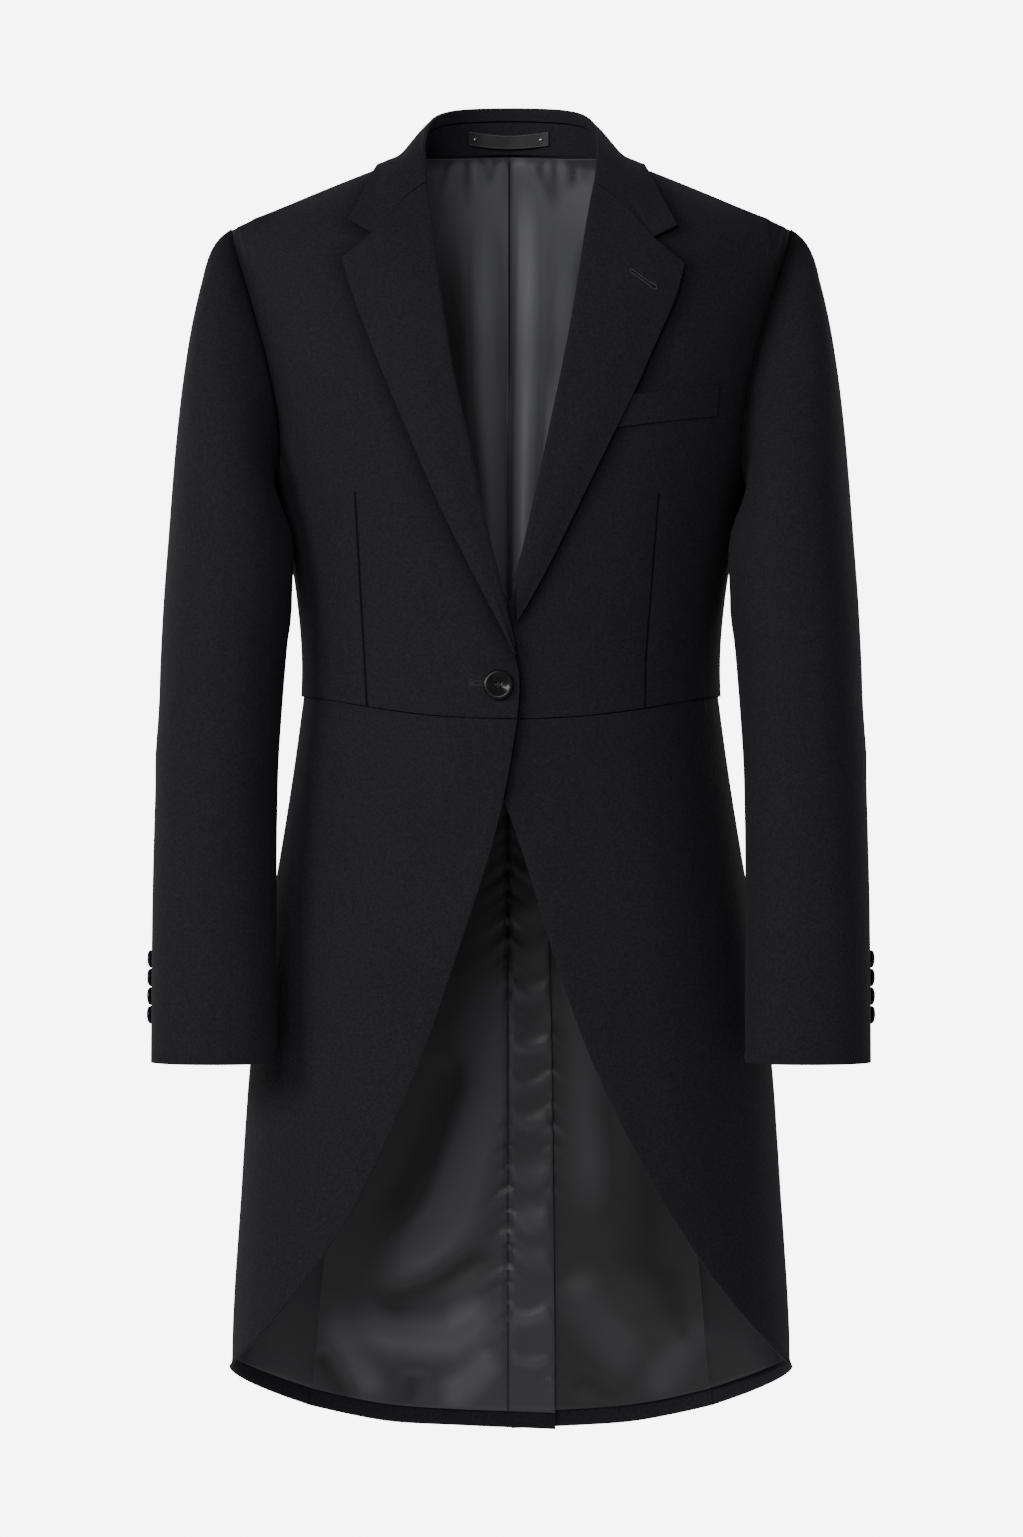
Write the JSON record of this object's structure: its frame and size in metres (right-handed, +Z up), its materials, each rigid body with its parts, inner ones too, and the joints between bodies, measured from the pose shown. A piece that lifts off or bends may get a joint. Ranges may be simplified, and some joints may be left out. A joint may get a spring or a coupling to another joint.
{
  "type": "black single-breasted tailcoat with notch lapels and a rounded cutaway",
  "caption": "Hollow worn form of a black tailcoat with notch lapels, closed at the waist by a button, its rounded skirts cut away to long satin-lined tails.",
  "frame": {"origin": "base of the neck on the centre line, where the wearer's shoulders carry the coat", "axes": "+Z up to the collar, +X towards the wearer's left, and the front faces -Y"},
  "size_m": [0.5692, 0.2691, 1.0857],
  "materials": {
    "wool": "matt fine twill wool",
    "satin": "dark grey satin lining",
    "horn": "black polished buttons",
    "leather": "black hanger loop",
    "metal": "small steel pins"
  },
  "bodies": {
    "root": {"back_left": "wool", "back_lining_left": "satin", "back_lining_right": "satin", "back_right": "wool", "breast_welt": "wool", "collar_fall": "wool", "collar_stand": "wool", "cuff_button_left_1": "horn", "cuff_button_left_2": "horn", "cuff_button_left_3": "horn", "cuff_button_left_4": "horn", "cuff_button_right_1": "horn", "cuff_button_right_2": "horn", "cuff_button_right_3": "horn", "cuff_button_right_4": "horn", "forepart_left": "wool", "forepart_right": "wool", "front_button": "horn", "hanger_loop": "leather", "lapel_left": "wool", "lapel_right": "wool", "loop_pin_left": "metal", "loop_pin_right": "metal", "side_body_left": "wool", "side_body_right": "wool", "skirt_left": "wool", "skirt_lining_left": "satin", "skirt_lining_right": "satin", "skirt_right": "wool", "sleeve_top_left": "wool", "sleeve_top_right": "wool", "sleeve_under_left": "wool", "sleeve_under_right": "wool", "waist_button_left": "horn", "waist_button_right": "horn"}
  },
  "joints": []
}
